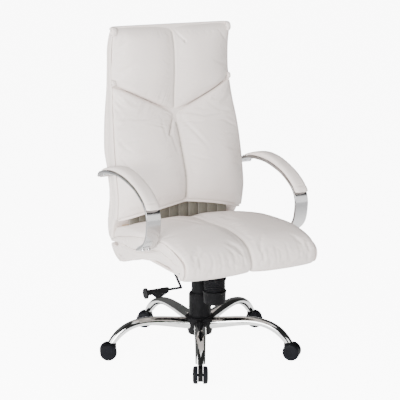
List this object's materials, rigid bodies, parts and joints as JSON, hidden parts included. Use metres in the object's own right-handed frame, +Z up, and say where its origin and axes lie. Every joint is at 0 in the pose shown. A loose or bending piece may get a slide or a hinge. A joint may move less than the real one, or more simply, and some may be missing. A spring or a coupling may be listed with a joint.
{
  "type": "executive office chair",
  "caption": "High-back executive swivel chair with padded leather shell, open metal arms, gas lift, tilt mechanism and five-leg caster base.",
  "frame": {"origin": "on the floor, on the axis of the gas column", "axes": "+Z up; the sitter faces -Y; +X is the sitter's left"},
  "size_m": [0.7032, 0.7341, 1.141],
  "materials": {
    "white_leather": "soft grained leather, satin, off-white",
    "upholstery_foam": "foam in its leather skin, counted at the density of soft fabric",
    "polished_arm": "polished with fine lengthwise brushing",
    "chrome": "bright chrome plating",
    "black_plastic": "fine moulded texture, black",
    "caster_nylon": "moulded nylon, satin black",
    "black_steel": "black powder coat",
    "steel": "zinc-plated steel",
    "plywood": "moulded beech plywood, unfinished"
  },
  "bodies": {
    "base": {"legs": "chrome", "base_hub": "black_steel", "caster_sockets": "chrome", "hub_cover": "black_plastic", "column_tube": "black_steel", "column_bush": "black_plastic", "column_bearing": "steel", "lower_cover": "black_plastic"},
    "swivel": {"piston_rod": "steel"},
    "cover_slide": {"middle_cover": "black_plastic"},
    "lift": {"gas_cylinder": "black_steel", "upper_cover": "black_plastic", "mechanism_housing": "black_steel", "tilt_shaft": "steel", "tension_spring": "black_steel"},
    "valve": {"valve_button": "black_plastic"},
    "lock": {"lock_bar": "black_steel"},
    "lever": {"lever_rod": "black_steel", "lever_handle": "black_plastic"},
    "seat": {"seat_plate": "black_steel", "tilt_bushes": "black_plastic", "seat_bolts": "steel", "ply_shell": "plywood", "under_pad": "upholstery_foam", "seat_core_pad": "upholstery_foam", "seat_cushion": "upholstery_foam", "rear_pad": "upholstery_foam", "back_core_pad": "upholstery_foam", "lining_panel": "white_leather", "lumbar_cushion": "upholstery_foam", "head_cushion": "upholstery_foam", "arm_left": "polished_arm", "arm_right": "polished_arm", "arm_pad_left": "white_leather", "arm_pad_right": "white_leather", "arm_brackets": "steel", "arm_bolts": "steel"},
    "tension_bolt": {"tension_bolt": "steel"},
    "spring_seat": {"spring_seat": "black_steel"},
    "tension_knob": {"tension_knob": "black_plastic"},
    "caster_1": {"caster_1_housing": "black_plastic", "caster_1_pins": "steel"},
    "wheel_1_left": {"caster_1_wheel_left": "caster_nylon"},
    "wheel_1_right": {"caster_1_wheel_right": "caster_nylon"},
    "caster_2": {"caster_2_housing": "black_plastic", "caster_2_pins": "steel"},
    "wheel_2_left": {"caster_2_wheel_left": "caster_nylon"},
    "wheel_2_right": {"caster_2_wheel_right": "caster_nylon"},
    "caster_3": {"caster_3_housing": "black_plastic", "caster_3_pins": "steel"},
    "wheel_3_left": {"caster_3_wheel_left": "caster_nylon"},
    "wheel_3_right": {"caster_3_wheel_right": "caster_nylon"},
    "caster_4": {"caster_4_housing": "black_plastic", "caster_4_pins": "steel"},
    "wheel_4_left": {"caster_4_wheel_left": "caster_nylon"},
    "wheel_4_right": {"caster_4_wheel_right": "caster_nylon"},
    "caster_5": {"caster_5_housing": "black_plastic", "caster_5_pins": "steel"},
    "wheel_5_left": {"caster_5_wheel_left": "caster_nylon"},
    "wheel_5_right": {"caster_5_wheel_right": "caster_nylon"}
  },
  "joints": [
    {"name": "caster_1_swivel", "type": "hinge", "parent": "base", "child": "caster_1", "pos_m": [-0.14588, -0.28144, 0.06], "axis": [0, 0, 1], "continuous": true},
    {"name": "wheel_1_left_roll", "type": "hinge", "parent": "caster_1", "child": "wheel_1_left", "pos_m": [-0.15515, -0.29916, 0.03], "axis": [0.8862, -0.4633, 0], "continuous": true},
    {"name": "wheel_1_right_roll", "type": "hinge", "parent": "caster_1", "child": "wheel_1_right", "pos_m": [-0.15515, -0.29916, 0.03], "axis": [0.8862, -0.4633, 0], "continuous": true},
    {"name": "caster_2_swivel", "type": "hinge", "parent": "base", "child": "caster_2", "pos_m": [0.22258, -0.22571, 0.06], "axis": [0, 0, 1], "continuous": true},
    {"name": "wheel_2_left_roll", "type": "hinge", "parent": "caster_2", "child": "wheel_2_left", "pos_m": [0.23707, -0.2395, 0.03], "axis": [0.6896, 0.7242, 0], "continuous": true},
    {"name": "wheel_2_right_roll", "type": "hinge", "parent": "caster_2", "child": "wheel_2_right", "pos_m": [0.23707, -0.2395, 0.03], "axis": [0.6896, 0.7242, 0], "continuous": true},
    {"name": "caster_3_swivel", "type": "hinge", "parent": "base", "child": "caster_3", "pos_m": [0.28345, 0.14194, 0.06], "axis": [0, 0, 1], "continuous": true},
    {"name": "wheel_3_left_roll", "type": "hinge", "parent": "caster_3", "child": "wheel_3_left", "pos_m": [0.30172, 0.13381, 0.03], "axis": [0.4067, 0.9135, 0], "continuous": true},
    {"name": "wheel_3_right_roll", "type": "hinge", "parent": "caster_3", "child": "wheel_3_right", "pos_m": [0.30172, 0.13381, 0.03], "axis": [0.4067, 0.9135, 0], "continuous": true},
    {"name": "caster_4_swivel", "type": "hinge", "parent": "base", "child": "caster_4", "pos_m": [-0.0474, 0.31344, 0.06], "axis": [0, 0, 1], "continuous": true},
    {"name": "wheel_4_left_roll", "type": "hinge", "parent": "caster_4", "child": "wheel_4_left", "pos_m": [-0.06398, 0.32462, 0.03], "axis": [-0.5592, -0.829, 0], "continuous": true},
    {"name": "wheel_4_right_roll", "type": "hinge", "parent": "caster_4", "child": "wheel_4_right", "pos_m": [-0.06398, 0.32462, 0.03], "axis": [-0.5592, -0.829, 0], "continuous": true},
    {"name": "caster_5_swivel", "type": "hinge", "parent": "base", "child": "caster_5", "pos_m": [-0.31274, 0.05177, 0.06], "axis": [0, 0, 1], "continuous": true},
    {"name": "wheel_5_left_roll", "type": "hinge", "parent": "caster_5", "child": "wheel_5_left", "pos_m": [-0.33134, 0.05914, 0.03], "axis": [-0.3681, -0.9298, 0], "continuous": true},
    {"name": "wheel_5_right_roll", "type": "hinge", "parent": "caster_5", "child": "wheel_5_right", "pos_m": [-0.33134, 0.05914, 0.03], "axis": [-0.3681, -0.9298, 0], "continuous": true},
    {"name": "seat_swivel", "type": "hinge", "parent": "base", "child": "swivel", "pos_m": [0, 0, 0.3], "axis": [0, 0, 1], "continuous": true},
    {"name": "seat_height", "type": "slide", "parent": "swivel", "child": "lift", "axis": [0, 0, 1], "range_m": [-0.02, 0.08]},
    {"name": "cover_telescope", "type": "slide", "parent": "swivel", "child": "cover_slide", "axis": [0, 0, 1], "range_m": [-0.011, 0.041]},
    {"name": "valve_press", "type": "slide", "parent": "lift", "child": "valve", "axis": [0, 0, -1], "range_m": [0, 0.0035]},
    {"name": "tilt_lock_pull", "type": "slide", "parent": "lift", "child": "lock", "axis": [-1, 0, 0], "range_m": [0, 0.008]},
    {"name": "height_lever", "type": "hinge", "parent": "lock", "child": "lever", "pos_m": [-0.032, 0, 0.3488], "axis": [0, 1, 0], "range_deg": [0, 6], "stiffness_Nm_per_rad": 1, "springref_deg": -28.65},
    {"name": "seat_tilt", "type": "hinge", "parent": "lift", "child": "seat", "pos_m": [0, -0.03, 0.345], "axis": [-1, 0, 0], "range_deg": [0, 14], "stiffness_Nm_per_rad": 120, "springref_deg": -20.05, "deforming": ["tension_spring"]},
    {"name": "tension_bolt_pivot", "type": "hinge", "parent": "seat", "child": "tension_bolt", "pos_m": [0, -0.11, 0.345], "axis": [-1, 0, 0], "range_deg": [-14.5, 0.5]},
    {"name": "tension_travel", "type": "slide", "parent": "tension_bolt", "child": "spring_seat", "axis": [0, 0, 1], "range_m": [-0.0036, 0.0036]},
    {"name": "tension_knob_turn", "type": "hinge", "parent": "spring_seat", "child": "tension_knob", "pos_m": [0, -0.11, 0.23], "axis": [0, 0, 1], "range_deg": [-720, 720]}
  ],
  "couplings": [
    {"joint": "cover_telescope", "follows": "seat_height", "ratio": 0.5},
    {"joint": "valve_press", "follows": "height_lever", "m_per_rad": 0.032},
    {"joint": "tension_bolt_pivot", "follows": "seat_tilt", "ratio": -1},
    {"joint": "tension_travel", "follows": "tension_knob_turn", "m_per_rad": 0.00027852}
  ]
}
